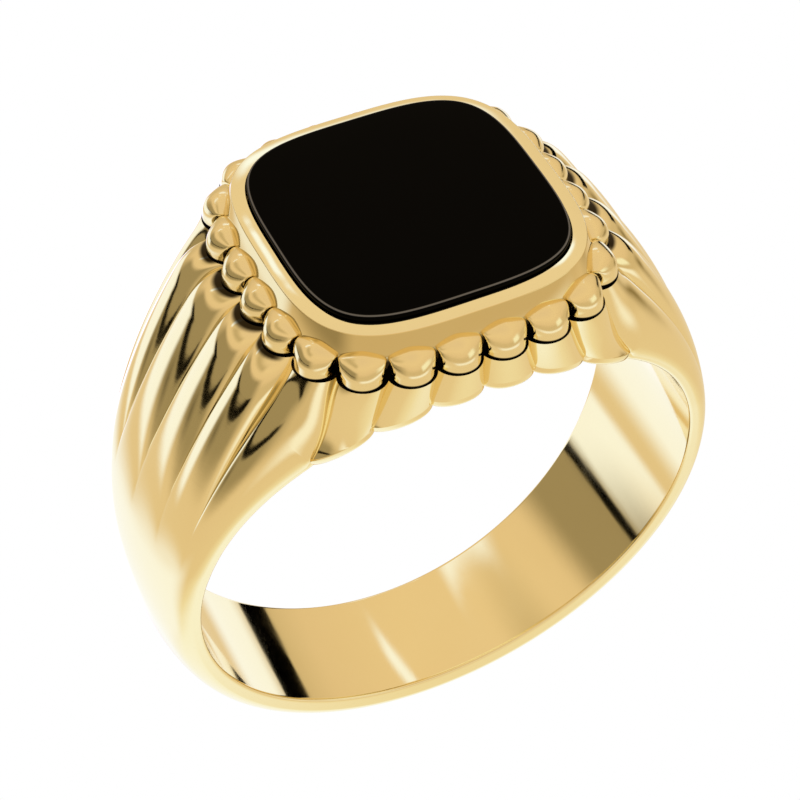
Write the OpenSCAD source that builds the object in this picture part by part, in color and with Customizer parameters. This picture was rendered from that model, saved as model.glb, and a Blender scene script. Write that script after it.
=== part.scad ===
// Signet ring with a cushion-cut onyx tablet, a row of 24 beads and fluted shoulders.
// The finger hole's axis is Y, its centre is the origin, and the stone faces +Z.

/* [Finger hole] */
// Radius of the finger hole
bore_r = 10; // [9.5:0.1:10.5]

/* [Band] */
// Thickness of the band at its crown, at the bottom
band_t = 1.35; // [1.1:0.05:1.8]
// Thickness of the band at its two edges, at the bottom
band_edge_t = 0.6; // [0.4:0.05:0.8]
// Thickness of the band at its two edges, on the shoulders
shoulder_edge_t = 0.3; // [0.25:0.05:0.5]
// Half the width of the band at the bottom
band_half_w = 2.48; // [2:0.05:3]
// How much half the width grows evenly from the bottom to the head
band_flare = 2.3; // [1.8:0.05:2.6]
// How much more half the width grows close to the head
head_flare = 1.87; // [1.6:0.05:2]
// How far the shoulders stand above the band's own thickness, under the head
shoulder_rise = 2.5; // [2.2:0.05:2.8]

/* [Bead row] */
// Radius of each bead's ball
bead_r = 0.76; // [0.75:0.01:0.78]
// Height above the bead's centre at which its two ears touch the next beads
ear_rise = 0.4; // [0.4:0.02:0.6]
// Half the width of the bead row, from centre line to centre line
row_half = 5.9; // [5.8:0.05:6]
// Squareness of the bead row, where 2 is a circle
row_power = 3.3; // [2.8:0.1:3.6]
// Height of the bead centres
bead_z = 11.72; // [11.67:0.01:11.77]

/* [Flutes] */
// Radius of each flute where it meets its bead
flute_r = 0.9; // [0.88:0.01:0.94]
// How far the flutes' axes stand inside the bead centres
flute_back = 0.1; // [0.05:0.01:0.15]
// How far below its bead's centre each flute ends
seat_drop = 0.3; // [0.25:0.01:0.35]
// Depth of the flutes where they cross the edge of the finger hole
edge_depth = 0.45; // [0.3:0.05:0.5]

/* [Bezel] */
// Gap between the bead centre line and the foot of the bezel's outer wall
foot_gap = 0.06; // [0.02:0.01:0.1]
// Height up to which the bezel's outer wall is upright, below its slope
slope_z = 12.2; // [12.1:0.05:12.4]
// Gap between the bead centre line and the bezel's rim
wall_gap = 0.34; // [0.3:0.01:0.38]
// Thickness of the bezel's wall
wall_t = 0.55; // [0.4:0.05:0.6]
// Height of the bezel's rim
rim_z = 13.1; // [13:0.05:13.2]
// Height of the recess that the bezel stands in
recess_z = 11.1; // [11:0.05:11.2]
// Thickness of the plate that closes the bezel below
plate_t = 0.4; // [0.3:0.05:0.5]
// Height of the ledge that the stone lies on
ledge_h = 0.5; // [0.4:0.05:0.6]
// Width of the ledge that the stone lies on
ledge_w = 0.7; // [0.5:0.05:0.9]

/* [Stone] */
// Gap between the stone's girdle and the bezel's wall
stone_gap = 0.02; // [0.01:0.01:0.04]
// How far the stone stands above the rim
stone_proud = 0.25; // [0.15:0.05:0.35]
// Width of the polished bevel round the stone's top
stone_bevel = 0.14; // [0.1:0.02:0.2]

/* [Hidden] */
// The beads, 12 on each side of the middle of the front.
bead_count = 24;

gold = "goldenrod";
pale_gold = "gold";
onyx_black = "black";
cement_grey = "silver";

// Places round the bead row are counted in bead spacings, from the middle of the front towards +X.
quarter = bead_count / 4;
front_end = 3;
flutes_per_shoulder = 6;
shoulder_mid = front_end + flutes_per_shoulder / 2;
// Angles down from the head: where the shoulders start, where the flutes end and where the rise starts.
station = 37;
fade_end = 75;
rise_start = 85;
rise_span = 57;
crown_growth = 0.15;
// The flutes are this much shallower where the shoulders meet the front and the back.
corner_share = 0.65;
walk_step = 0.5;
flute_cells = 4;
lift_rows = 3;
band_step = 5.5;
core_r = bore_r - 0.5;
// Each bead's ears are cones, which start inside the ball.
ear_start = 0.4;
ear_length = 0.7;
ear_base_r = 0.62;
ear_tip_r = 0.08;

function bead_name(k) = str("bead_", k < 10 ? "0" : "", k);
function unit(v) = v / norm(v);
function mix(a, b, w) = a + (b - a) * w;
function clamp01(x) = min(1, max(0, x));
function ease(x) = clamp01(x) * clamp01(x) * (3 - 2 * clamp01(x));

// The bead row is a superellipse, walked at an even pace.
function row_at_angle(a) =
    let (r = row_half / pow(pow(abs(sin(a)), row_power) + pow(abs(cos(a)), row_power), 1 / row_power))
    [r * sin(a), -r * cos(a)];
function row_stride(a) = norm(row_at_angle(a + walk_step) - row_at_angle(a));
walk = [for (a = 0, s = 0; a <= 90; s = s + row_stride(a), a = a + walk_step) [s, a]];
row_quarter_length = walk[len(walk) - 1][0];
row_pitch = row_quarter_length / quarter;
flute_half_angle = asin(0.5 * row_pitch / flute_r);
function row_angle(t) =
    let (quarters = floor(t / quarter))
    90 * quarters + lookup((t - quarter * quarters) * row_pitch, walk);
function row(t) = row_at_angle(row_angle(t));
function row_normal(t) =
    let (p = row(t))
    unit([sign(p[0]) * pow(abs(p[0]), row_power - 1), sign(p[1]) * pow(abs(p[1]), row_power - 1)]);
seat_z = bead_z - seat_drop;
function beside_row(t, d) = row(t) + row_normal(t) * d;

// Each flute is an arc in plan: 0 on its ridge, 1 in the crease beside it.
function crease(t) =
    let (u = 2 * (t - floor(t) - 0.5) * sin(flute_half_angle))
    (1 - sqrt(1 - u * u)) / (1 - cos(flute_half_angle));
flute_depth = flute_r * (1 - cos(flute_half_angle));

// The band's outline, at an angle down from the head.
function widen(down) = (1 + cos(down)) / 2;
function half_width(down) = band_half_w + band_flare * widen(down) + head_flare * pow(widen(down), 5);
function edge_r(down) = bore_r + mix(shoulder_edge_t, band_edge_t, clamp01(-cos(down)));
function rise(down) = shoulder_rise * pow(clamp01((rise_start - down) / rise_span), 2.5);
function crown_r(down) = bore_r + band_t + crown_growth * widen(down) + rise(down);
function along(down) = clamp01((down - station) / (fade_end - station));
// q runs from -1 at the front edge of the band to 1 at its back edge.
function section(down, q) = let (
    spread = mix(0.25, 1, along(down)),
    roundness = mix(3.6, 2, along(down)))
    [half_width(down) * mix(q, sin(90 * q), spread),
     mix(crown_r(down), edge_r(down), pow(abs(q), roundness))];
function section_normal(down, q) =
    let (d = section(down, min(1, q + 0.01)) - section(down, max(-1, q - 0.01)))
    unit([-d[1], d[0]]);
function in_space(down, side, yr) = [side * yr[1] * sin(down), yr[0], yr[1] * cos(down)];
function band_depth(down, q) =
    edge_depth * pow(1 - along(down), 1.3) * mix(1, corner_share, ease((abs(q) - 0.7) / 0.3));
function band_point(down, side, q) =
    in_space(down, side, section(down, q)
        - section_normal(down, q) * band_depth(down, q) * crease(shoulder_mid + q * flutes_per_shoulder / 2));

// Where the lines down the flutes start, on the seat of the bead row.
function seat_point(t) =
    let (p = beside_row(t, flute_r - flute_back - flute_depth * crease(t)))
    [p[0], p[1], seat_z];
// Where they end: on the finger hole's edge at the front, or where the shoulder starts.
function edge_angle(t) = station * (abs(t) / front_end) * mix(0.84, 1, abs(t) / front_end);
function front_end_point(t) = let (
    a = edge_angle(t),
    depth = edge_depth * mix(1, corner_share, abs(t) / front_end))
    in_space(a, sign(t), [-(half_width(a) - depth * crease(t)), edge_r(a)]);
function front_direction(t) = let (
    straight = unit(front_end_point(t) - seat_point(t)),
    round_hole = [sign(t) * cos(station), 0, -sin(station)])
    unit(mix(straight, round_hole, 0.6 * ease((abs(t) - 1.5) / 1.5)));
function shoulder_direction(side, q) = unit(mix(
    unit(band_point(station + 1, side, q) - band_point(station, side, q)),
    front_direction(side * front_end),
    ease((abs(q) - 0.86) / 0.14)));
// A line from a to b, which it meets in end_direction. With hold, from 0 to 1, it keeps that direction longer.
function lift(a, b, end_direction, hold, s) = let (
    chord = norm(b - a),
    c1 = b - end_direction * chord * mix(1 / 3, 0.6, hold),
    c0 = mix(mix(a, b, 1 / 3) + (mix(a, b, 2 / 3) - c1) * 0.3, mix(a, c1, 0.6), hold))
    a * pow(1 - s, 3) + 3 * c0 * pow(1 - s, 2) * s + 3 * c1 * (1 - s) * s * s + b * pow(s, 3);
function mirror_y(p) = [p[0], -p[1], p[2]];
// The outer skin between the seat and the end of each line; s runs from 0 to 1.
function front_skin(t, s) = lift(seat_point(t), front_end_point(t), front_direction(t), 0, s);
function shoulder_skin(side, q, s) =
    let (t = side * (shoulder_mid + q * flutes_per_shoulder / 2))
    lift(seat_point(t), band_point(station, side, q), q <= 0 ? shoulder_direction(side, q)
        : mirror_y(shoulder_direction(side, -q)), ease((1 - abs(q)) / 0.35), s);

// One height of the skin all the way round, with t from -front_end to bead_count - front_end.
function skin(t, s) =
    t <= front_end ? front_skin(t, s)
    : t <= front_end + flutes_per_shoulder ? shoulder_skin(1, (t - shoulder_mid) * 2 / flutes_per_shoulder, s)
    : t <= 3 * front_end + flutes_per_shoulder ? mirror_y(front_skin(bead_count / 2 - t, s))
    : shoulder_skin(-1, (bead_count - t - shoulder_mid) * 2 / flutes_per_shoulder, s);

// Each flute has flute_cells cells, at even angles round its arc.
flute_places = [for (j = [0:flute_cells - 1])
    0.5 + 0.5 * sin(flute_half_angle * (2 * j / flute_cells - 1)) / sin(flute_half_angle)];
round_places = [for (k = [0:bead_count - 1], f = flute_places) k - front_end + f];
around = len(round_places);
across_places = [for (j = [0:flutes_per_shoulder * flute_cells])
    (round_places[2 * front_end * flute_cells + j] - shoulder_mid) * 2 / flutes_per_shoulder];
across = len(across_places);
band_half_rows = ceil((180 - station) / band_step);
band_rows = 2 * band_half_rows;
function row_down(m) = mix(station, 180, min(m, band_rows - m) / band_half_rows);
function row_side(m) = m > band_half_rows ? -1 : 1;

skin_points = [for (r = [0:lift_rows], t = round_places) skin(t, r / lift_rows)];
band_points = [for (m = [1:band_rows - 1], q = across_places) band_point(row_down(m), row_side(m), q)];
function skin_at(i, r) = r * around + i % around;
function band_at(m, j) =
    m == 0 ? skin_at(2 * front_end * flute_cells + j, lift_rows)
    : m == band_rows ? skin_at(around - j, lift_rows)
    : (lift_rows + 1) * around + (m - 1) * across + j;

// The two edges of the finger hole, and the core that the hole's cylinder then cuts away.
front_cells = 2 * front_end * flute_cells;
back_start = (bead_count - flutes_per_shoulder) * flute_cells;
front_edge = concat([for (i = [0:front_cells]) skin_at(i, lift_rows)],
    [for (m = [1:band_rows - 1]) band_at(m, 0)]);
back_edge = concat([for (i = [0:front_cells]) skin_at(back_start - i, lift_rows)],
    [for (m = [1:band_rows - 1]) band_at(m, across - 1)]);
edge_length = len(front_edge);
outer_points = concat(skin_points, band_points);
function core_point(p) = [p[0], 0, p[2]] * core_r / norm([p[0], 0, p[2]]) + [0, p[1], 0];
core_start = len(outer_points);
core_points = concat([for (v = front_edge) core_point(outer_points[v])],
    [for (v = back_edge) core_point(outer_points[v])]);
function front_core(l) = core_start + l % edge_length;
function back_core(l) = core_start + edge_length + l % edge_length;

// The seat of the bead row, and the recess that the bezel stands in.
foot_outline = [for (t = round_places) beside_row(t, -foot_gap)];
wall_start = core_start + 2 * edge_length;
wall_points = concat(
    [for (p = foot_outline) [p[0], p[1], seat_z]],
    [for (p = foot_outline) [p[0], p[1], recess_z]]);
function wall_at(i, r) = wall_start + r * around + i % around;

function next(l) = (l + 1) % edge_length;
skin_faces = [for (r = [0:lift_rows - 1], i = [0:around - 1])
    [skin_at(i, r), skin_at(i + 1, r), skin_at(i + 1, r + 1), skin_at(i, r + 1)]];
band_faces = [for (m = [0:band_rows - 1], j = [0:across - 2])
    [band_at(m, j), band_at(m, j + 1), band_at(m + 1, j + 1), band_at(m + 1, j)]];
front_faces = [for (l = [0:edge_length - 1])
    [front_edge[l], front_edge[next(l)], front_core(l + 1), front_core(l)]];
back_faces = [for (l = [0:edge_length - 1])
    [back_edge[next(l)], back_edge[l], back_core(l), back_core(l + 1)]];
core_faces = [for (l = [0:edge_length - 1])
    [front_core(l), front_core(l + 1), back_core(l + 1), back_core(l)]];
seat_faces = [for (i = [0:around - 1]) [skin_at(i + 1, 0), skin_at(i, 0), wall_at(i, 0), wall_at(i + 1, 0)]];
recess_faces = [for (i = [0:around - 1])
    [wall_at(i + 1, 0), wall_at(i, 0), wall_at(i, 1), wall_at(i + 1, 1)]];
floor_face = [[for (i = [around - 1:-1:0]) wall_at(i, 1)]];

// The outline of the bezel's parts, at a distance inside its rim.
module outline(inside) {
    polygon([for (t = round_places) beside_row(t, -wall_gap - inside)]);
}

module slab(inside, z, height) {
    translate([0, 0, z])
        linear_extrude(height)
            outline(inside);
}

// Band, shoulders and flutes, cast as one piece.
module shank() {
    color(gold)
        difference() {
            polyhedron(
                points = concat(outer_points, core_points, wall_points),
                faces = concat(skin_faces, band_faces, front_faces, back_faces, core_faces,
                    seat_faces, recess_faces, floor_face),
                convexity = 8);
            rotate([90, 0, 0])
                cylinder(h = 20, r = bore_r, center = true, $fn = 180);
        }
}

// The bezel's outside: an upright foot, and a slope that draws in to the rim.
module bezel_block() {
    foot = foot_gap - wall_gap;
    slab(foot, recess_z, slope_z - recess_z);
    translate([0, 0, slope_z])
        linear_extrude(rim_z - slope_z, scale = (row_half - wall_gap) / (row_half - foot_gap))
            outline(foot);
}

module bezel_collar() {
    color(gold)
        difference() {
            bezel_block();
            slab(wall_t, recess_z - 1, rim_z - recess_z + 2);
        }
}

module bezel_plate() {
    color(gold)
        slab(wall_t, recess_z, plate_t);
}

module bearing_ledge() {
    color(pale_gold)
        difference() {
            slab(wall_t, recess_z + plate_t, ledge_h);
            slab(wall_t + ledge_w, recess_z, plate_t + ledge_h + 1);
        }
}

module stone_cement() {
    color(cement_grey)
        slab(wall_t + ledge_w, recess_z + plate_t, ledge_h);
}

module onyx_stone() {
    stone_z = recess_z + plate_t + ledge_h;
    girdle = rim_z + stone_proud - stone_bevel - stone_z;
    inside = wall_t + stone_gap;
    half = row_half - wall_gap - inside;
    color(onyx_black) {
        slab(inside, stone_z, girdle);
        translate([0, 0, stone_z + girdle])
            linear_extrude(stone_bevel, scale = 1 - stone_bevel / half)
                outline(inside);
    }
}

// Turns its child's X axis along v.
module aim(v) {
    rotate([0, -atan2(v[2], norm([v[0], v[1]])), atan2(v[1], v[0])])
        children();
}

// A ball with two ears, each of which reaches up to the next bead, on a flat seat.
module bead(k) {
    t = k - 0.5;
    centre = concat(row(t), bead_z);
    color(pale_gold)
        difference() {
            translate(centre) {
                sphere(r = bead_r, $fn = 48);
                for (beside = [t - 1, t + 1])
                    aim(concat(row(beside) - row(t), 2 * ear_rise))
                        translate([ear_start, 0, 0])
                            rotate([0, 90, 0])
                                cylinder(h = ear_length, r1 = ear_base_r, r2 = ear_tip_r, $fn = 48);
            }
            for (beside = [t - 1, t + 1]) {
                reach = concat(row(beside) - row(t), 0);
                translate(centre)
                    aim(reach)
                        translate([norm(reach) / 2, -1.5, -1.5])
                            cube(3);
            }
            translate(centre + [0, 0, -3 - seat_drop])
                cube([4, 4, 6], center = true);
            slab(foot_gap - wall_gap, recess_z, 2);
        }
}

shank();
bezel_collar();
bezel_plate();
bearing_ledge();
stone_cement();
onyx_stone();
for (k = [1:bead_count])
    bead(k);
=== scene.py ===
import math

import bmesh
import bpy
import numpy as np
from mathutils import Matrix, Vector, kdtree


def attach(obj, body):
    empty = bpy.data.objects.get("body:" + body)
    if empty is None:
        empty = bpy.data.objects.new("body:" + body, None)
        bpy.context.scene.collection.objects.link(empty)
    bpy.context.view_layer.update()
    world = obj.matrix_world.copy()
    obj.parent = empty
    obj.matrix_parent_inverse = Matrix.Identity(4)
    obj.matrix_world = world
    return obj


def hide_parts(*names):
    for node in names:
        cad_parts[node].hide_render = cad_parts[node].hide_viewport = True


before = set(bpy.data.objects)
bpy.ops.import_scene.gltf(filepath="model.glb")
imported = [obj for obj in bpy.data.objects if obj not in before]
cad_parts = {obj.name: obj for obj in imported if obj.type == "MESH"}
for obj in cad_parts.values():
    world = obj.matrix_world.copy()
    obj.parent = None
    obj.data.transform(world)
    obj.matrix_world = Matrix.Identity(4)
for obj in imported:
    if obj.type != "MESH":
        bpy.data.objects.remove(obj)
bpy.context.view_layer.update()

MM = 0.001

# ---------------------------------------------------------------- the ring's own sizes, in millimetres
BORE_R = 10.0
BAND_T = 1.35
BAND_EDGE_T = 0.6
SHOULDER_EDGE_T = 0.3
BAND_HALF_W = 2.48
BAND_FLARE = 2.3
HEAD_FLARE = 1.87
CROWN_GROWTH = 0.15
SHOULDER_RISE = 2.5
BEAD_R = 0.75
EAR_RISE = 0.4
ROW_HALF = 5.9
BEAD_Z = 11.72
FLUTE_R = 0.9
FLUTE_BACK = 0.1
SEAT_Z = 11.42
EDGE_DEPTH = 0.45
FOOT_GAP = 0.06
SLOPE_Z = 12.2
WALL_GAP = 0.34
WALL_T = 0.55
RIM_Z = 13.1
RECESS_Z = 11.1
STONE_Z = 12.0
STONE_TOP = 13.35
STONE_GAP = 0.02
STONE_BEVEL = 0.14
LIP_Z = 12.6
EDGE_ROUNDING = 0.13
BOTTOM_ROUNDING = 0.3
HOLE_ROUNDING = 0.12

# Counts of beads and flutes. A place t on the bead row is counted in beads from the middle of the front.
BEADS = 24
QUARTER = BEADS / 4
FRONT_END = 3
SHOULDER_FLUTES = 6
SHOULDER_MID = FRONT_END + SHOULDER_FLUTES / 2
AROUND = BEADS * 20

# Angles in degrees, down from the top of the ring.
STATION = 37.0
FADE_END = 75.0
RISE_START = 85.0
RISE_SPAN = 57.0

# Powers and shares, without a unit, and the lean of a bead's skirt in radians.
ROW_POWER = 3.3
RISE_POWER = 2.5
FADE_POWER = 1.3
HEAD_ROUNDNESS = 3.6
BAND_ROUNDNESS = 2
HEAD_SPREAD = 0.25
FRONT_SPREAD = 0.84
FRONT_BEND = 0.6
HOLD = 0.6
CORNER_SHARE = 0.65
SKIRT_LEAN = math.radians(5)


# ---------------------------------------------------------------- the ring's shape
def mix(a, b, w):
    return a + (b - a) * w


def clamp01(x):
    return np.clip(x, 0, 1)


def ease(x):
    x = clamp01(x)
    return x * x * (3 - 2 * x)


def unit(v):
    return v / np.maximum(np.linalg.norm(v, axis=-1, keepdims=True), 1e-12)


def row_at_angle(a):
    """A point of the bead row, a rounded square seen from above, by its angle in degrees from the front."""
    s, c = np.sin(np.radians(a)), np.cos(np.radians(a))
    r = ROW_HALF / (np.abs(s) ** ROW_POWER + np.abs(c) ** ROW_POWER) ** (1 / ROW_POWER)
    return np.stack([r * s, -r * c], -1)


walk_angle = np.linspace(0, 90, 1801)
walk_steps = np.linalg.norm(np.diff(row_at_angle(walk_angle), axis=0), axis=1)
walk_length = np.concatenate([[0], np.cumsum(walk_steps)])
PITCH = walk_length[-1] / QUARTER
FLUTE_HALF = math.asin(0.5 * PITCH / FLUTE_R)
FLUTE_DEPTH = FLUTE_R * (1 - math.cos(FLUTE_HALF))


def row_angle(t):
    """The angle of place t, with equal lengths between the beads."""
    t = np.asarray(t, float)
    turn = np.floor(t / QUARTER)
    return 90 * turn + np.interp((t - QUARTER * turn) * PITCH, walk_length, walk_angle)


def row(t):
    return row_at_angle(row_angle(t))


def row_normal(t):
    p = row(t)
    return unit(np.sign(p) * np.abs(p) ** (ROW_POWER - 1))


def beside_row(t, d):
    """A point d millimetres outside the bead row."""
    return row(t) + row_normal(t) * np.asarray(d)[..., None]


def crease(t):
    """How far the skin sinks at a place: from 0 in the middle of a flute to 1 at the crease between two."""
    u = 2 * (t - np.floor(t) - 0.5) * math.sin(FLUTE_HALF)
    return (1 - np.sqrt(1 - u * u)) / (1 - math.cos(FLUTE_HALF))


def widen(down):
    """1 at the top of the ring, 0 at the bottom."""
    return (1 + np.cos(np.radians(down))) / 2


def half_width(down):
    return BAND_HALF_W + BAND_FLARE * widen(down) + HEAD_FLARE * widen(down) ** 5


def edge_r(down):
    return BORE_R + mix(SHOULDER_EDGE_T, BAND_EDGE_T, clamp01(-np.cos(np.radians(down))))


def crown_r(down):
    rise = clamp01((RISE_START - down) / RISE_SPAN) ** RISE_POWER
    return BORE_R + BAND_T + CROWN_GROWTH * widen(down) + SHOULDER_RISE * rise


def along(down):
    """0 at the head's end of the band, 1 where its flutes have faded out."""
    return clamp01((down - STATION) / (FADE_END - STATION))


def section(down, q):
    """The band's outline across its width, as y and radius: q is 0 at the crown and -1 and 1 at the edges."""
    spread = mix(HEAD_SPREAD, 1, along(down))
    roundness = mix(HEAD_ROUNDNESS, BAND_ROUNDNESS, along(down))
    y = half_width(down) * mix(q, np.sin(np.radians(90 * q)), spread)
    return np.stack([y, mix(crown_r(down), edge_r(down), np.abs(q) ** roundness)], -1)


def section_normal(down, q):
    d = section(down, np.minimum(1, q + 0.01)) - section(down, np.maximum(-1, q - 0.01))
    return unit(np.stack([-d[..., 1], d[..., 0]], -1))


def in_space(down, side, y, r):
    """A point by its angle down from the top, the side it is on (-1 or 1), y and radius."""
    down, side, y, r = np.broadcast_arrays(down, side, y, r)
    a = np.radians(down)
    return np.stack([side * r * np.sin(a), y, r * np.cos(a)], -1)


def band_depth(down, q):
    """The depth of the flutes, which fade out down the band and are shallower by its edges."""
    corner = mix(1, CORNER_SHARE, ease((np.abs(q) - 0.7) / 0.3))
    return EDGE_DEPTH * (1 - along(down)) ** FADE_POWER * corner


def band_point(down, side, q):
    down, side, q = np.broadcast_arrays(np.asarray(down, float), side, q)
    deep = band_depth(down, q) * crease(SHOULDER_MID + q * SHOULDER_FLUTES / 2)
    s = section(down, q) - section_normal(down, q) * deep[..., None]
    return in_space(down, side, s[..., 0], s[..., 1])


def seat_point(t):
    """A point of the fluted edge of the seat, on which the beads stand."""
    p = beside_row(t, FLUTE_R - FLUTE_BACK - FLUTE_DEPTH * crease(t))
    return np.concatenate([p, np.full(t.shape + (1,), SEAT_Z)], -1)


def edge_angle(t):
    """The angle down from the top of the front's lower edge at a place."""
    a = np.abs(t) / FRONT_END
    return STATION * a * mix(FRONT_SPREAD, 1, a)


def front_end_point(t):
    """A point of the front's lower edge."""
    a = edge_angle(t)
    depth = EDGE_DEPTH * mix(1, CORNER_SHARE, np.abs(t) / FRONT_END)
    y = -(half_width(a) - depth * crease(t))
    return in_space(a, np.sign(t), y, edge_r(a))


def front_direction(t):
    """The direction in which a flute of the front arrives at its lower edge."""
    straight = unit(front_end_point(t) - seat_point(t))
    c, s = math.cos(math.radians(STATION)), math.sin(math.radians(STATION))
    hole = np.stack([np.sign(t) * c, 0 * t, 0 * t - s], -1)
    bend = FRONT_BEND * ease((np.abs(t) - 1.5) / 1.5)
    return unit(mix(straight, hole, bend[..., None]))


def shoulder_direction(side, q):
    """The direction in which a flute of the shoulder runs on into the band."""
    run = unit(band_point(STATION + 1, side, q) - band_point(STATION, side, q))
    corner = front_direction(side * FRONT_END * np.ones_like(q))
    near_corner = ease((np.abs(q) - 0.86) / 0.14)
    return unit(mix(run, corner, near_corner[..., None]))


def lift(a, b, end, hold, s):
    """The point at share s of a cubic curve from a to b, which arrives in the direction end."""
    chord = np.linalg.norm(b - a, axis=-1, keepdims=True)
    c1 = b - end * chord * mix(1 / 3, HOLD, hold)
    c0 = mix(mix(a, b, 1 / 3) + (mix(a, b, 2 / 3) - c1) * 0.3, mix(a, c1, HOLD), hold)
    return a * (1 - s) ** 3 + 3 * c0 * (1 - s) ** 2 * s + 3 * c1 * (1 - s) * s**2 + b * s**3


FLIP_Y = np.array([1.0, -1.0, 1.0])


def front_skin(t, s):
    return lift(seat_point(t), front_end_point(t), front_direction(t), 0, s)


def shoulder_skin(side, q, s):
    t = side * (SHOULDER_MID + q * SHOULDER_FLUTES / 2)
    end = shoulder_direction(side, -np.abs(q))
    end = np.where((q > 0)[..., None], end * FLIP_Y, end)
    hold = ease((1 - np.abs(q)) / 0.35)[..., None]
    return lift(seat_point(t), band_point(STATION, side, q), end, hold, s)


def skin(t, s):
    """One height of the skin all the way round, with t from -FRONT_END on."""
    out = np.zeros(t.shape + (3,))
    a, b, c = FRONT_END, FRONT_END + SHOULDER_FLUTES, 3 * FRONT_END + SHOULDER_FLUTES
    f = t <= a
    out[f] = front_skin(t[f], s)
    f = (t > a) & (t <= b)
    out[f] = shoulder_skin(1, (t[f] - SHOULDER_MID) * 2 / SHOULDER_FLUTES, s)
    f = (t > b) & (t <= c)
    out[f] = front_skin(BEADS / 2 - t[f], s) * FLIP_Y
    f = t > c
    out[f] = shoulder_skin(-1, (BEADS - t[f] - SHOULDER_MID) * 2 / SHOULDER_FLUTES, s)
    return out


# ---------------------------------------------------------------- mesh helpers
def grid_faces(index, close=False):
    """Quads between neighbouring rows of an index array."""
    a, b = index[:-1], index[1:]
    if close:
        return np.stack([a, np.roll(a, -1, 1), np.roll(b, -1, 1), b], -1).reshape(-1, 4)
    return np.stack([a[:, :-1], a[:, 1:], b[:, 1:], b[:, :-1]], -1).reshape(-1, 4)


def pairs_along(line):
    return list(zip(line[:-1], line[1:]))


def pairs_round(loop):
    return list(zip(loop, np.roll(loop, -1)))


def make_object(name, points, faces, material, sharp, stands_for):
    """One piece of the ring. The edges between the pairs of points in sharp are creases."""
    mesh = bpy.data.meshes.new(name)
    faces = [[int(v) for v in dict.fromkeys(f)] for f in faces]
    faces = [f for f in faces if len(f) > 2]
    mesh.from_pydata((np.asarray(points) * MM).tolist(), [], faces)
    mesh.polygons.foreach_set("use_smooth", [True] * len(mesh.polygons))
    pairs = {frozenset(p) for p in sharp}
    flags = [frozenset(e.vertices) in pairs for e in mesh.edges]
    mesh.attributes.new("sharp_edge", "BOOLEAN", "EDGE").data.foreach_set("value", flags)
    mesh.validate()
    shell = bmesh.new()
    shell.from_mesh(mesh)
    bmesh.ops.recalc_face_normals(shell, faces=shell.faces)
    shell.to_mesh(mesh)
    shell.free()
    mesh.update()
    obj = bpy.data.objects.new(name, mesh)
    bpy.context.scene.collection.objects.link(obj)
    mesh.materials.append(material)
    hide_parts(stands_for)
    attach(obj, "root")


def face_normals(points, faces):
    """Area-weighted normals of the points that these faces touch."""
    p = points[faces]
    n = np.cross(p[:, 2] - p[:, 0], p[:, 3] - p[:, 1])
    total = np.zeros((len(points), 3))
    for k in range(4):
        np.add.at(total, faces[:, k], n)
    return unit(total)


def level_ring(t, d, z, scale=1.0):
    """Points at height z, d millimetres outside the bead row."""
    xy = beside_row(t, np.full(len(t), d)) * scale
    return np.concatenate([xy, np.full((len(t), 1), z)], 1)


def round_edge(points, movers, edge, n1, n2, radius):
    """Rounds an edge: points near it sink away from both of the surfaces that meet there.

    The radius is given for each point of the edge, and the movers are the points that may sink.
    """
    tree = kdtree.KDTree(len(edge))
    for i, v in enumerate(edge):
        tree.insert(points[v], i)
    tree.balance()
    before = points.copy()
    for v in movers:
        _, i, d = tree.find(before[v])
        k = radius[i]
        if d < k:
            a, b = n1[edge[i]], n2[edge[i]]
            across = float(a @ b)
            sink = (k - d) ** 2 / (4 * k) * min(1, 1 - across) / max(0.5, 1 + across)
            points[v] = before[v] - (a + b) * sink


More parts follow.
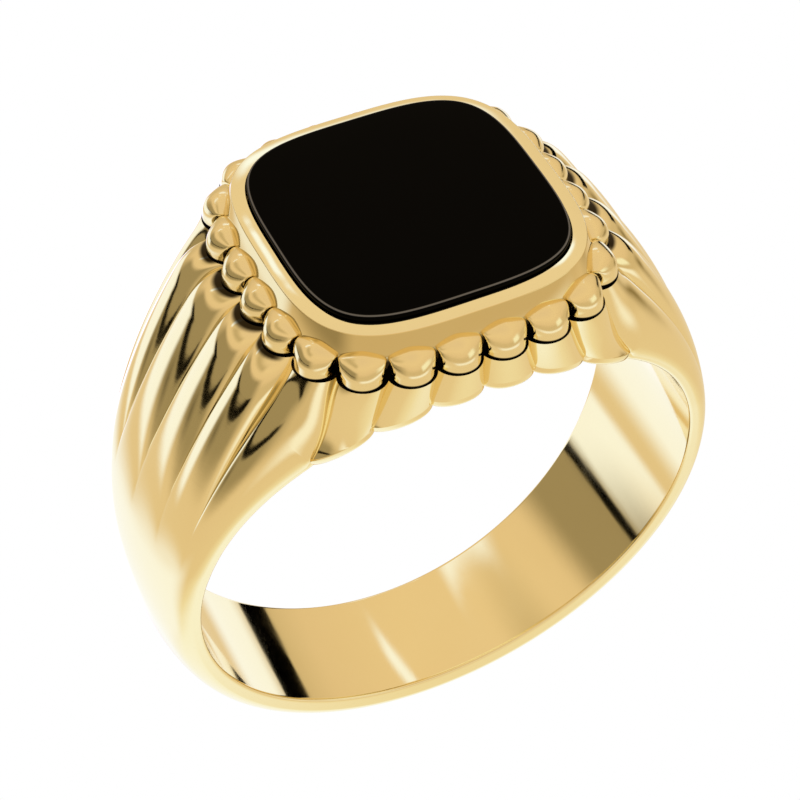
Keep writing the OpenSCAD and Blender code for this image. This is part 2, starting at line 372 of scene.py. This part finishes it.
# ---------------------------------------------------------------- shank
def build_shank(material):
    # Places round the seat, a number of cells to a bead, closest together by the creases.
    cells = 16
    arc = np.sin(FLUTE_HALF * (2 * np.arange(cells) / cells - 1))
    places = 0.5 + 0.5 * arc / math.sin(FLUTE_HALF)
    around_t = (np.arange(BEADS)[:, None] - FRONT_END + places[None]).ravel()
    around = len(around_t)
    # Heights of the skin, from 0 at the seat to 1 at its lower edge.
    near_seat = [0, 0.012, 0.03]
    near_edge = [0.9, 0.93, 0.952, 0.97, 0.984, 0.994, 1]
    heights = np.concatenate([near_seat, np.linspace(0.07, 0.86, 12), near_edge])
    # The places across the right-hand shoulder, from which the band goes on.
    first = 2 * FRONT_END * cells
    across_t = around_t[first:first + SHOULDER_FLUTES * cells + 1]
    across_q = (across_t - SHOULDER_MID) * 2 / SHOULDER_FLUTES
    across = len(across_q)
    # Rows of the band, down the right-hand side to the bottom and up the left-hand side.
    half = 110
    rows = 2 * half
    m = np.arange(1, rows)
    down = mix(STATION, 180, np.minimum(m, rows - m) / half)
    side = np.where(m > half, -1, 1)
    # Steps of the wall by the share of its height, and of the hole in millimetres from its edge.
    wall_steps = (0.06, 0.14, 0.24, 0.36, 0.5, 0.64, 0.76, 0.86, 0.94, 1)
    bore_steps = (0.012, 0.03, 0.055, 0.09, 0.14)
    walls = len(wall_steps)

    skins = np.stack([skin(around_t, s) for s in heights])
    bands = band_point(down[:, None], side[:, None], across_q[None])
    top = len(heights) - 1
    skin_index = np.arange((top + 1) * around).reshape(top + 1, around)
    band_index = (top + 1) * around + np.arange((rows - 1) * across).reshape(rows - 1, across)
    begin = skin_index[top, first:first + across]
    back_from = (BEADS - SHOULDER_FLUTES) * cells
    finish = skin_index[top][(around - np.arange(across)) % around]
    band_rows = np.vstack([begin, band_index, finish])
    front = np.concatenate([skin_index[top, :first + 1], band_rows[1:-1, 0]])
    back = np.concatenate([skin_index[top, back_from - np.arange(first + 1)], band_rows[1:-1, -1]])
    outer = np.vstack([skins.reshape(-1, 3), bands.reshape(-1, 3)])
    outer_faces = np.vstack([grid_faces(skin_index, close=True), grid_faces(band_rows)])

    def inner_line(edge):
        """The wall from the outer edge to the finger hole, then a few steps into the hole."""
        e = outer[edge]
        r = np.hypot(e[:, 0], e[:, 2])
        hole = e * np.stack([BORE_R / r, np.ones_like(r), BORE_R / r], -1)
        wall = [mix(e, hole, w) for w in wall_steps]
        bore = []
        for d in bore_steps:
            p = hole.copy()
            p[:, 1] -= np.sign(p[:, 1]) * d
            bore.append(p)
        return np.stack(wall + bore)

    points = [outer]
    start = len(outer)
    strips = []
    for edge in (front, back):
        lines = inner_line(edge)
        index = start + np.arange(lines.shape[0] * lines.shape[1]).reshape(lines.shape[:2])
        strips.append(np.vstack([edge, index]))
        points.append(lines.reshape(-1, 3))
        start += index.size
    front_faces = grid_faces(strips[0], close=True)[:, ::-1]
    back_faces = grid_faces(strips[1], close=True)
    bore_faces = grid_faces(np.vstack([strips[0][-1], strips[1][-1]]), close=True)[:, ::-1]

    points += [level_ring(around_t, -FOOT_GAP, z) for z in (SEAT_Z, RECESS_Z)]
    seat_index = start + np.arange(2 * around).reshape(2, around)
    seat_faces = grid_faces(np.vstack([skin_index[0], seat_index]), close=True)[:, ::-1]
    points = np.vstack(points)

    turned = tuple(zip(strips, (-1, 1)))
    wall_faces = [grid_faces(s[:walls + 1], close=True)[:, ::way] for s, way in turned]
    hole_faces = [grid_faces(s[walls:], close=True)[:, ::way] for s, way in turned]
    n_outer = face_normals(points, outer_faces)
    n_wall = face_normals(points, np.vstack(wall_faces))
    n_bore = face_normals(points, np.vstack(hole_faces))
    down_of = np.degrees(np.arctan2(np.abs(outer[:, 0]), outer[:, 2]))
    rounding_zone = BORE_R + 1.2
    near_hole = np.flatnonzero(np.hypot(outer[:, 0], outer[:, 2]) < rounding_zone)
    for s in strips:
        edge = s[0]
        hole = s[walls]
        bottom = ease((down_of[edge] - 80) / 70)
        edge_rounding = mix(EDGE_ROUNDING, BOTTOM_ROUNDING, bottom)
        hole_rounding = np.full(len(hole), HOLE_ROUNDING)
        movers = np.concatenate([near_hole, s[1:7].ravel()])
        round_edge(points, movers, edge, n_outer, n_wall, edge_rounding)
        round_edge(points, s[5:].ravel(), hole, n_wall, n_bore, hole_rounding)

    faces = np.vstack([outer_faces, front_faces, back_faces, bore_faces, seat_faces]).tolist()
    faces.append(seat_index[1][::-1].tolist())
    # The band keeps its creases over this many rows from each shoulder.
    creased = 26
    sharp = []
    for column in range(0, around, cells):
        sharp += pairs_along(skin_index[:, column])
    for column in range(0, across, cells):
        line = band_rows[:, column]
        sharp += pairs_along(line[:creased + 1]) + pairs_along(line[-creased - 1:])
    for s in strips:
        for column in range(0, first + 1, cells):
            sharp += pairs_along(s[:walls + 1, column])
    for loop in (skin_index[0], seat_index[0], seat_index[1]):
        sharp += pairs_round(loop)
    make_object("ring_shank", points, faces, material, sharp, "shank")


# ---------------------------------------------------------------- bezel and stone
def rounded_profile(corners, steps=5):
    """A closed outline through the corners (inside, height, rounding), each corner rounded off."""
    pts = []
    n = len(corners)
    for i in range(n):
        a, b, c = (np.array(corners[j % n][:2], float) for j in (i - 1, i, i + 1))
        k = corners[i][2]
        if k == 0:
            pts.append(b)
            continue
        p, q = b + unit(a - b) * k, b + unit(c - b) * k
        for u in np.linspace(0, 1, steps + 1):
            pts.append(p * (1 - u) ** 2 + 2 * b * u * (1 - u) + q * u * u)
    return np.array(pts)


def build_collar(material):
    foot = FOOT_GAP - WALL_GAP
    profile = rounded_profile([
        (foot, RECESS_Z, 0), (foot, SLOPE_Z, 0.05), (0, RIM_Z - 0.07, 0.03), (WALL_T - 0.03, RIM_Z, 0.02),
        (WALL_T, LIP_Z, 0.02), (WALL_T, RECESS_Z, 0)])
    t = np.linspace(0, BEADS, AROUND, endpoint=False)
    points = np.stack([level_ring(t, -WALL_GAP - inside, z) for inside, z in profile])
    index = np.arange(len(profile) * AROUND).reshape(-1, AROUND)
    faces = grid_faces(np.vstack([index, index[:1]]), close=True)
    sharp = pairs_round(index[0]) + pairs_round(index[-1])
    points = points.reshape(-1, 3)
    make_object("bezel_wall", points, faces, material, sharp, "bezel_collar")


def build_stone(material):
    """The stone: an upright side and a bevel, then a level top in ever smaller rings."""
    inside = WALL_T + STONE_GAP
    middle = inside + 3
    corners = [(middle, STONE_Z, 0), (inside, STONE_Z, 0.03)]
    corners += [(inside, STONE_TOP, STONE_BEVEL), (middle, STONE_TOP, 0)]
    side = rounded_profile(corners, 10)
    t = np.linspace(0, BEADS, AROUND, endpoint=False)
    rings = [level_ring(t, -WALL_GAP - i, z) for i, z in side[1:-1]]
    for scale in (0.75, 0.4, 0.1):
        rings.append(level_ring(t, -WALL_GAP - inside - STONE_BEVEL, STONE_TOP, scale))
    points = np.stack(rings)
    index = np.arange(len(rings) * AROUND).reshape(-1, AROUND)
    faces = grid_faces(index, close=True).tolist() + [index[-1].tolist(), index[0][::-1].tolist()]
    make_object("onyx_tablet", points.reshape(-1, 3), faces, material, (), "onyx_stone")


# ---------------------------------------------------------------- beads
def bead_shape():
    """Points and faces of one bead about its centre; the axes are along the row, outward and up.

    It is a ball with two ears that reach up to the next beads, as one taut skin, on a leaning skirt.
    """
    rings, spokes = 44, 64
    lat = np.linspace(0, math.pi, rings + 1)[1:-1]
    lon = np.linspace(0, 2 * math.pi, spokes, endpoint=False)
    along_row, outward = np.outer(np.sin(lat), np.cos(lon)), np.outer(np.sin(lat), np.sin(lon))
    upward = np.outer(np.cos(lat), np.ones(spokes))
    v = np.stack([along_row, outward, upward], -1).reshape(-1, 3)
    v = np.concatenate([v, [[0, 0, 1], [0, 0, -1]]])

    samples, chunk = 6000, 500
    i = np.arange(samples) + 0.5
    polar = np.arccos(1 - 2 * i / samples)
    turn = math.pi * (1 + 5**0.5) * i
    n = np.stack([np.cos(turn) * np.sin(polar), np.sin(turn) * np.sin(polar), np.cos(polar)], -1)
    power = 16
    ear_gap, ear_in, ear_r = 0.04, 0.02, 0.12
    reach = np.full(len(n), BEAD_R**power)
    for a in (-1, 1):
        ear = np.array([a * (PITCH / 2 - ear_gap), -ear_in, EAR_RISE])
        reach += np.maximum(n @ ear + ear_r, 0) ** power
    reach = reach ** (1 / power)

    grazing, far = 0.05, 9.0
    away = np.full(len(v), far)
    for k in range(0, samples, chunk):
        facing = v @ n[k:k + chunk].T
        limit = reach[k:k + chunk] / np.maximum(facing, grazing)
        away = np.minimum(away, np.where(facing > grazing, limit, far).min(1))
    across = np.hypot(v[:, 0], v[:, 1])
    skirt = BEAD_R / math.cos(SKIRT_LEAN) / np.maximum(across + v[:, 2] * math.tan(SKIRT_LEAN), 0.1)
    away = np.where(v[:, 2] < math.sin(SKIRT_LEAN), np.maximum(away, skirt), away)

    power = 30
    foot_gap, side_gap = 0.004, 0.006
    total = away**-power + (np.maximum(-v[:, 2], 0) / (BEAD_Z - SEAT_Z - foot_gap)) ** power
    total += (np.abs(v[:, 0]) / (PITCH / 2 - side_gap)) ** (2 * power)
    points = v * (total ** (-1 / power))[:, None]
    index = np.arange((rings - 1) * spokes).reshape(rings - 1, spokes)
    last = (rings - 1) * spokes
    faces = grid_faces(index, close=True).tolist()
    faces += [[last, int(b), int(a)] for a, b in pairs_round(index[0])]
    faces += [[last + 1, int(a), int(b)] for a, b in pairs_round(index[-1])]
    return points, faces


def build_bead(k, shape, material):
    here = np.array([k - 0.5])
    out = np.array([*row_normal(here)[0], 0.0])
    tangent = np.array([-out[1], out[0], 0.0])
    local, faces = shape
    points = local[:, :1] * tangent + local[:, 1:2] * out + local[:, 2:] * np.array([0, 0, 1.0])
    points = points + np.array([*row(here)[0], BEAD_Z])
    make_object("grain_%02d" % k, points, faces, material, (), "bead_%02d" % k)


# ---------------------------------------------------------------- materials
GOLD_DEEP = (0.94, 0.81, 0.475)
GOLD_PALE = (0.96, 0.84, 0.51)
# A dark colour painted as shade: in the seats round the beads, on each bead's lowest edge and at the foot of
# the bezel wall.
PAINTED_SEAT_SHADOW = (0.03, 0.022, 0.01)
BEZEL_WALL = (0.86, 0.7, 0.36)
# Paler gold painted on the bezel's level top as a painted highlight.
BEZEL_TOP_HIGHLIGHT = (0.98, 0.91, 0.6)
ONYX_BLACK = (0.0002, 0.0002, 0.0002)
# Grey painted on the stone's rounded upper edge as a painted highlight.
ONYX_EDGE_HIGHLIGHT = (0.16, 0.16, 0.17)
CEMENT_DARK = (0.03, 0.028, 0.025)
CEMENT_LIGHT = (0.09, 0.085, 0.075)


def node(tree, kind, **settings):
    made = tree.nodes.new(kind)
    for key, value in settings.items():
        setattr(made, key, value)
    return made


def link(tree, source, target):
    tree.links.new(source, target)


def calc(tree, operation, *values):
    """A Math node on numbers or sockets."""
    made = node(tree, "ShaderNodeMath", operation=operation)
    for k, value in enumerate(values):
        if isinstance(value, (int, float)):
            made.inputs[k].default_value = value
        else:
            link(tree, value, made.inputs[k])
    return made.outputs[0]


def spread_over(tree, value, low, high, to_low, to_high, smooth=False):
    """Maps low and high to two other numbers, and holds these outside that range."""
    made = node(tree, "ShaderNodeMapRange", interpolation_type="SMOOTHSTEP" if smooth else "LINEAR")
    for k, number in enumerate((low, high, to_low, to_high), 1):
        made.inputs[k].default_value = number
    link(tree, value, made.inputs[0])
    return made.outputs[0]


def step_up(tree, value, low, high):
    return spread_over(tree, value, low, high, 0, 1, True)


def step_down(tree, value, low, high):
    return spread_over(tree, value, low, high, 1, 0, True)


def blend(tree, factor, low, high):
    """A colour between two, each of them a tuple or a socket."""
    made = node(tree, "ShaderNodeMix", data_type="RGBA")
    link(tree, factor, made.inputs[0])
    for socket, colour in ((made.inputs[6], low), (made.inputs[7], high)):
        if isinstance(colour, tuple):
            socket.default_value = (*colour, 1)
        else:
            link(tree, colour, socket)
    return made.outputs[2]


def axes(tree, vector):
    """The X, Y and Z sockets of a vector."""
    made = node(tree, "ShaderNodeSeparateXYZ")
    link(tree, vector, made.inputs[0])
    return made.outputs


def facing_up(tree):
    """1 where the surface lies level and faces up, 0 where it is upright."""
    return axes(tree, node(tree, "ShaderNodeTexCoord").outputs["Normal"])["Z"]


def noise(tree, where, scale, detail, stretch=(1, 1, 1)):
    """Noise with a scale in cycles per millimetre."""
    mapping = node(tree, "ShaderNodeMapping")
    mapping.inputs["Scale"].default_value = [1000 * scale * s for s in stretch]
    link(tree, where, mapping.inputs["Vector"])
    made = node(tree, "ShaderNodeTexNoise")
    made.inputs["Scale"].default_value = 1.0
    made.inputs["Detail"].default_value = detail
    link(tree, mapping.outputs[0], made.inputs["Vector"])
    return made.outputs["Fac"]


def start_material(name):
    material = bpy.data.materials.new(name)
    material.use_nodes = True
    tree = material.node_tree
    tree.nodes.clear()
    shader = node(tree, "ShaderNodeBsdfPrincipled")
    link(tree, shader.outputs[0], node(tree, "ShaderNodeOutputMaterial").inputs["Surface"])
    where = node(tree, "ShaderNodeTexCoord").outputs["Object"]
    return material, tree, shader, where


def tint(tree, factor, low, high, shader, painted_shadow=None):
    """Base colour from low to high; where painted shade is asked for, the colour goes to the dark painted
    shade colour.
    """
    colour = blend(tree, factor, low, high)
    if painted_shadow is not None:
        colour = blend(tree, painted_shadow, colour, PAINTED_SEAT_SHADOW)
    link(tree, colour, shader.inputs["Base Color"])


def add_bump(tree, height, distance, shader):
    """Bump of this many millimetres for a height of 1."""
    bump = node(tree, "ShaderNodeBump")
    bump.inputs["Strength"].default_value = 1.0
    bump.inputs["Distance"].default_value = distance * MM
    link(tree, height, bump.inputs["Height"])
    link(tree, bump.outputs[0], shader.inputs["Normal"])


def painted_seat_shadow(tree, where):
    """1 on the level floor around the beads, where painted shade darkens the seat; 0 elsewhere."""
    high = step_up(tree, axes(tree, where)["Z"], (SEAT_Z - 0.12) * MM, (SEAT_Z - 0.04) * MM)
    return calc(tree, "MULTIPLY", high, step_up(tree, facing_up(tree), 0.75, 0.9))


def painted_bead_foot_shadow(tree, where):
    """1 on the lowest edge of each bead, next to its seat, where painted shade darkens it; 0 elsewhere."""
    return step_down(tree, axes(tree, where)["Z"], (SEAT_Z + 0.08) * MM, (SEAT_Z + 0.12) * MM)


def gold(name, rough_low, rough_high, marks, stretch, painted_shadow=None):
    """Polished gold: a slow drift of colour and roughness, fine rubbing marks and, if asked, painted shade in
    dark places.
    """
    material, tree, shader, where = start_material(name)
    shader.inputs["Metallic"].default_value = 1.0
    drift = noise(tree, where, 0.35, 3.0)
    tint(tree, drift, GOLD_DEEP, GOLD_PALE, shader, painted_shadow(tree, where) if painted_shadow else None)
    rub = noise(tree, where, 2.0, 5.0, stretch)
    rough = calc(tree, "ADD", calc(tree, "MULTIPLY", drift, 0.6), calc(tree, "MULTIPLY", rub, 0.4))
    link(tree, spread_over(tree, rough, 0.35, 0.65, rough_low, rough_high), shader.inputs["Roughness"])
    add_bump(tree, rub, marks, shader)
    return material


def bezel_gold():
    """The bezel's gold: a polished wall with painted shade at its foot, and a top painted paler as a painted
    highlight, with a fine grain.
    """
    material, tree, shader, where = start_material("bezel_gold")
    shader.inputs["Metallic"].default_value = 1.0
    drift = noise(tree, where, 0.5, 3.0)
    height = axes(tree, where)["Z"]
    high = step_up(tree, height, 12.92 * MM, 12.98 * MM)
    # The level top is painted paler: a painted highlight where the bezel faces up.
    top = calc(tree, "MULTIPLY", high, step_up(tree, facing_up(tree), 0.86, 0.97))
    top_highlight_and_tone = calc(tree, "ADD", calc(tree, "MULTIPLY", top, 0.8), calc(tree, "MULTIPLY", drift, 0.2))
    # Painted shade on the foot of the wall, next to the beads, in the dark painted shade colour.
    foot = step_down(tree, height, 12.0 * MM, 12.35 * MM)
    tint(tree, top_highlight_and_tone, BEZEL_WALL, BEZEL_TOP_HIGHLIGHT, shader, foot)
    fine = noise(tree, where, 28.0, 3.0)
    wave = noise(tree, where, 0.75, 1.0)
    polish = spread_over(tree, top, 0, 1, 0.05, 0.04)
    rough = calc(tree, "ADD", polish, calc(tree, "MULTIPLY", fine, 0.03))
    link(tree, rough, shader.inputs["Roughness"])
    grain = calc(tree, "ADD", wave, calc(tree, "MULTIPLY", fine, 0.012))
    add_bump(tree, calc(tree, "MULTIPLY", grain, top), 0.01, shader)
    return material


def onyx():
    """Polished black onyx, with a painted highlight on its rounded upper edge."""
    material, tree, shader, where = start_material("onyx")
    cloud = noise(tree, where, 0.25, 5.0)
    up = facing_up(tree)
    # Painted highlight: the rounded upper edge, picked out by how far it faces up, is painted grey.
    edge = calc(tree, "MULTIPLY", step_up(tree, up, 0.6, 0.8), step_down(tree, up, 0.93, 0.99))
    edge_highlight_and_cloud = calc(tree, "ADD", edge, calc(tree, "MULTIPLY", cloud, 0.004))
    tint(tree, edge_highlight_and_cloud, ONYX_BLACK, ONYX_EDGE_HIGHLIGHT, shader)
    polish = noise(tree, where, 3.0, 4.0)
    link(tree, spread_over(tree, polish, 0.3, 0.7, 0.03, 0.05), shader.inputs["Roughness"])
    shader.inputs["IOR"].default_value = 1.54
    shader.inputs["Specular IOR Level"].default_value = 0.02
    add_bump(tree, polish, 0.0003, shader)
    return material


def cement():
    material, tree, shader, where = start_material("cement")
    cloud = noise(tree, where, 1.5, 5.0)
    tint(tree, cloud, CEMENT_DARK, CEMENT_LIGHT, shader)
    link(tree, spread_over(tree, cloud, 0.3, 0.7, 0.55, 0.75), shader.inputs["Roughness"])
    add_bump(tree, cloud, 0.05, shader)
    return material


# ---------------------------------------------------------------- studio
TAN = (0.79, 0.62, 0.41)
CREAM = (1.02, 1.09, 1.28)
BLACK = (0.0, 0.0, 0.0)
WHITE = (1.3, 1.3, 1.9)
OLIVE = (0.2, 0.14, 0.04)
OLIVE_SHADE = (0.36, 0.29, 0.17)
# The shade of the surroundings by height in degrees, from straight below to straight above.
STOPS = [
    (-90, CREAM),
    (-65, (1.0, 1.05, 1.1)),
    (-52, (0.9, 0.82, 0.62)),
    (-42, (0.82, 0.68, 0.46)),
    (-20, (0.8, 0.65, 0.44)),
    (-10, (0.68, 0.54, 0.34)),
    (7, (0.68, 0.54, 0.34)),
    (20, TAN),
    (50, (0.85, 0.68, 0.45)),
    (90, (0.8, 0.64, 0.45)),
]
# Soft cards: middle azimuth, half width, softness, middle height, half height, softness, slope, shade.
# Azimuth is from the front, positive to the right; all angles are in degrees.
CARDS = [
    (-140, 45, 20, -48, 14, 6, 0.0, CREAM),
    (10, 45, 12, -20, 6, 4, 0.0, (1.0, 1.0, 1.0)),
    (-100, 46, 14, 6, 19, 6, 0.0, OLIVE_SHADE),
    (-108, 40, 14, 53, 8, 8, 0.0, (0.58, 0.46, 0.28)),
    (-158, 12, 4, 46, 2.5, 1.5, -0.41, CREAM),
    (174, 2.5, 1.5, 46.5, 1.5, 1.0, 0.0, CREAM),
    (142, 2, 1.5, 46, 3.5, 1.5, 0.0, CREAM),
    (160, 12, 4, 31, 4, 3, 0.0, CREAM),
    (-148, 24, 5, -13, 10, 2.5, 0.0, CREAM),
    (45, 16, 6, 12, 12, 6, 0.0, (0.98, 0.98, 0.85)),
    (132, 12, 4, -16, 10, 5, 0.0, CREAM),
    (95, 8, 12, -14, 6, 9, 0.0, OLIVE),
    (-112, 3, 12, -7, 2, 6, 0.0, BLACK),
    (-97, 38, 5, 0, 1.8, 0.7, 0.0, BLACK),
    (125, 22, 4, 0.75, 5.75, 0.8, 0.0, BLACK),
    (172, 20, 6, -38, 12, 6, 0.0, WHITE),
]
FLOOR_HALF = 600
FLOOR_Z = -11.36
# The camera: azimuth, height and roll in degrees, and where it aims and its distance in millimetres.
CAMERA_AZIMUTH = -24.30
CAMERA_HEIGHT = 45.91
CAMERA_ROLL = -0.6955
AIM_ASIDE = -0.33446
AIM_UP = 3.56564
CAMERA_DISTANCE = 104.496
CAMERA_LENS = 126.63


def zone(tree, azimuth, elevation, colour, card):
    """One soft card, laid over the colour of the surroundings so far."""
    middle, half, soft, height, half_height, soft_height, slope, shade = card
    off = calc(tree, "WRAP", calc(tree, "SUBTRACT", azimuth, middle), 180, -180)
    line = calc(tree, "ADD", calc(tree, "MULTIPLY", off, slope), height)
    up = calc(tree, "SUBTRACT", elevation, line)
    aside = step_down(tree, calc(tree, "ABSOLUTE", off), half - soft, half + soft)
    apart = calc(tree, "ABSOLUTE", up)
    level = step_down(tree, apart, half_height - soft_height, half_height + soft_height)
    return blend(tree, calc(tree, "MULTIPLY", aside, level), colour, shade)


def make_world():
    """The surroundings that the ring reflects. Behind the ring the camera sees plain white."""
    world = bpy.data.worlds.new("studio")
    bpy.context.scene.world = world
    world.use_nodes = True
    tree = world.node_tree
    tree.nodes.clear()
    x, y, z = axes(tree, node(tree, "ShaderNodeTexCoord").outputs["Generated"])
    degrees = 180 / math.pi
    azimuth = calc(tree, "MULTIPLY", calc(tree, "ARCTAN2", x, calc(tree, "MULTIPLY", y, -1)), degrees)
    elevation = calc(tree, "MULTIPLY", calc(tree, "ARCSINE", z), degrees)
    base = node(tree, "ShaderNodeValToRGB")
    while len(base.color_ramp.elements) < len(STOPS):
        base.color_ramp.elements.new(0.5)
    for element, (height, shade) in zip(base.color_ramp.elements, STOPS):
        element.position = (height + 90) / 180
        element.color = (*shade, 1)
    link(tree, spread_over(tree, elevation, -90, 90, 0, 1), base.inputs[0])
    colour = base.outputs[0]
    for card in CARDS:
        colour = zone(tree, azimuth, elevation, colour, card)
    around = node(tree, "ShaderNodeBackground")
    link(tree, colour, around.inputs[0])
    plain = node(tree, "ShaderNodeBackground")
    plain.inputs[0].default_value = (1, 1, 1, 1)
    mixed = node(tree, "ShaderNodeMixShader")
    link(tree, node(tree, "ShaderNodeLightPath").outputs["Is Camera Ray"], mixed.inputs[0])
    link(tree, around.outputs[0], mixed.inputs[1])
    link(tree, plain.outputs[0], mixed.inputs[2])
    link(tree, mixed.outputs[0], node(tree, "ShaderNodeOutputWorld").inputs["Surface"])


def make_floor():
    """A plain white floor, which reflections leave out."""
    side = FLOOR_HALF * MM
    drop = FLOOR_Z * MM
    corners = [(-side, -side, drop), (side, -side, drop), (side, side, drop), (-side, side, drop)]
    mesh = bpy.data.meshes.new("floor")
    mesh.from_pydata(corners, [], [(0, 1, 2, 3)])
    floor = bpy.data.objects.new("floor", mesh)
    bpy.context.scene.collection.objects.link(floor)
    material = bpy.data.materials.new("floor")
    material.use_nodes = True
    tree = material.node_tree
    tree.nodes.clear()
    glow = node(tree, "ShaderNodeEmission")
    glow.inputs[0].default_value = (1, 1, 1, 1)
    link(tree, glow.outputs[0], node(tree, "ShaderNodeOutputMaterial").inputs["Surface"])
    mesh.materials.append(material)
    floor.visible_glossy = False


def make_camera():
    azimuth = math.radians(CAMERA_AZIMUTH)
    height = math.radians(CAMERA_HEIGHT)
    roll = math.radians(CAMERA_ROLL)
    reach = math.cos(height)
    back = Vector((math.sin(azimuth) * reach, -math.cos(azimuth) * reach, math.sin(height)))
    level = Vector((math.cos(azimuth), math.sin(azimuth), 0))
    upright = back.cross(level)
    right = level * math.cos(roll) + upright * math.sin(roll)
    up = upright * math.cos(roll) - level * math.sin(roll)
    aim = Vector((AIM_ASIDE * math.cos(azimuth), AIM_ASIDE * math.sin(azimuth), AIM_UP)) * MM
    cam = bpy.data.objects.new("camera", bpy.data.cameras.new("camera"))
    bpy.context.scene.collection.objects.link(cam)
    place = Matrix((right, up, back)).transposed().to_4x4()
    place.translation = aim + back * CAMERA_DISTANCE * MM
    cam.matrix_world = place
    cam.data.lens = CAMERA_LENS
    cam.data.sensor_width = 36
    cam.data.clip_start = 0.005
    cam.data.clip_end = 10
    bpy.context.scene.camera = cam


# ---------------------------------------------------------------- the scene
# Painted shade: the shank's gold darkens the seat floor round the beads, and the beads' gold darkens their
# lowest edges.
polished = gold("polished_gold", 0.05, 0.09, 0.0012, (1, 0.3, 1), painted_seat_shadow)
bead_gold = gold("bead_gold", 0.1, 0.16, 0.0012, (1, 1, 1), painted_bead_foot_shadow)
inner_gold = gold("inner_gold", 0.22, 0.34, 0.004, (1, 0.2, 1))
wall_gold = bezel_gold()
build_shank(polished)
build_collar(wall_gold)
build_stone(onyx())
shape = bead_shape()
for k in range(1, BEADS + 1):
    build_bead(k, shape, bead_gold)
inner = (("bezel_plate", inner_gold), ("bearing_ledge", inner_gold), ("stone_cement", cement()))
for name, material in inner:
    mesh = bpy.data.objects[name].data
    mesh.materials.clear()
    mesh.materials.append(material)

make_world()
make_floor()
make_camera()
bpy.context.scene.view_settings.view_transform = "Standard"
